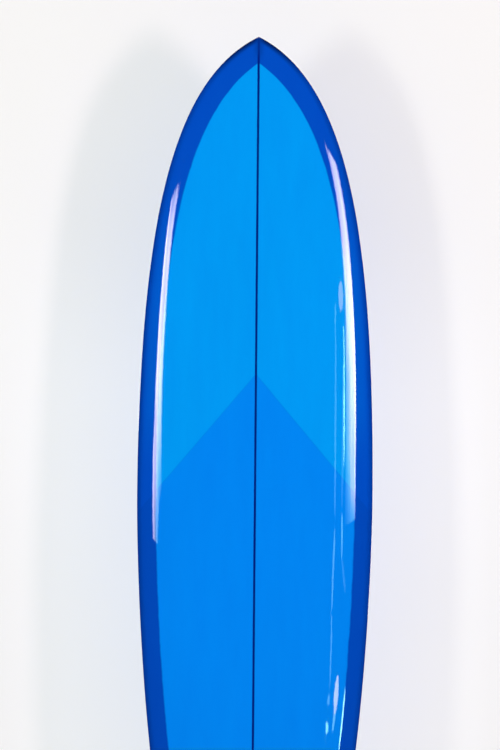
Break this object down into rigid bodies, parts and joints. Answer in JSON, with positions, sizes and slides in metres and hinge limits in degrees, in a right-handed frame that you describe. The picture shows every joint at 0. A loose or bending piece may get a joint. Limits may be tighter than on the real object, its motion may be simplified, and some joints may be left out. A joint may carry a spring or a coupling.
{
  "type": "surfboard",
  "caption": "Long rounded surfboard with a pointed nose, centre stringer, tinted gloss laminate with wrapped laps, a centre fin in a slot box, side fins and a leash cup.",
  "frame": {"origin": "on the bottom surface, on the centre line, at half length", "axes": "+Z along the board toward the nose, +Y out of the bottom, -Y out of the deck, +X across to the right seen from the deck with the nose up"},
  "size_m": [0.5458, 0.2926, 2.235],
  "materials": {
    "tinted_skin": "gloss",
    "patch_cloth": "satin",
    "foam": "matte",
    "stringer_wood": "matte",
    "box_plastic": "satin",
    "fin_laminate": "gloss",
    "brass": "satin",
    "steel": "satin"
  },
  "bodies": {
    "board": {"deck_skin": "tinted_skin", "bottom_skin": "tinted_skin", "deck_patch": "patch_cloth", "foam_left": "foam", "foam_right": "foam", "stringer": "stringer_wood", "centre_fin_box": "box_plastic", "side_fin_box_left": "box_plastic", "side_fin_box_right": "box_plastic", "leash_cup": "box_plastic", "leash_bar": "steel"},
    "centre_fin": {"centre_fin": "fin_laminate", "centre_fin_pin": "brass", "centre_fin_plate": "brass"},
    "centre_fin_screw": {"centre_fin_screw": "steel"},
    "side_fin_left": {"side_fin_left": "fin_laminate"},
    "side_fin_right": {"side_fin_right": "fin_laminate"},
    "side_fin_screw_left_front": {"side_fin_screw_left_front": "steel"},
    "side_fin_screw_left_rear": {"side_fin_screw_left_rear": "steel"},
    "side_fin_screw_right_front": {"side_fin_screw_right_front": "steel"},
    "side_fin_screw_right_rear": {"side_fin_screw_right_rear": "steel"}
  },
  "joints": [
    {"name": "centre_fin_slide", "type": "slide", "parent": "board", "child": "centre_fin", "axis": [0, 0.0893, 0.996], "range_m": [-0.04, 0.04]},
    {"name": "centre_fin_screw_turn", "type": "hinge", "parent": "centre_fin", "child": "centre_fin_screw", "pos_m": [0, -0.02723, -0.79729], "axis": [0, 0.996, -0.0893], "range_deg": [0, 1080]},
    {"name": "side_fin_left_pull", "type": "slide", "parent": "board", "child": "side_fin_left", "axis": [0, 0.9973, -0.0735], "range_m": [0, 0.02]},
    {"name": "side_fin_right_pull", "type": "slide", "parent": "board", "child": "side_fin_right", "axis": [0, 0.9973, -0.0735], "range_m": [0, 0.02]},
    {"name": "side_fin_screw_left_front_turn", "type": "hinge", "parent": "board", "child": "side_fin_screw_left_front", "pos_m": [-0.14881, -0.02695, -0.71358], "axis": [0.3416, 0.9358, -0.087], "range_deg": [0, 720]},
    {"name": "side_fin_screw_left_rear_turn", "type": "hinge", "parent": "board", "child": "side_fin_screw_left_rear", "pos_m": [-0.15216, -0.03166, -0.77732], "axis": [0.3416, 0.9358, -0.087], "range_deg": [0, 720]},
    {"name": "side_fin_screw_right_front_turn", "type": "hinge", "parent": "board", "child": "side_fin_screw_right_front", "pos_m": [0.14881, -0.02695, -0.71358], "axis": [-0.3416, 0.9358, -0.087], "range_deg": [0, 720]},
    {"name": "side_fin_screw_right_rear_turn", "type": "hinge", "parent": "board", "child": "side_fin_screw_right_rear", "pos_m": [0.15216, -0.03166, -0.77732], "axis": [-0.3416, 0.9358, -0.087], "range_deg": [0, 720]}
  ]
}
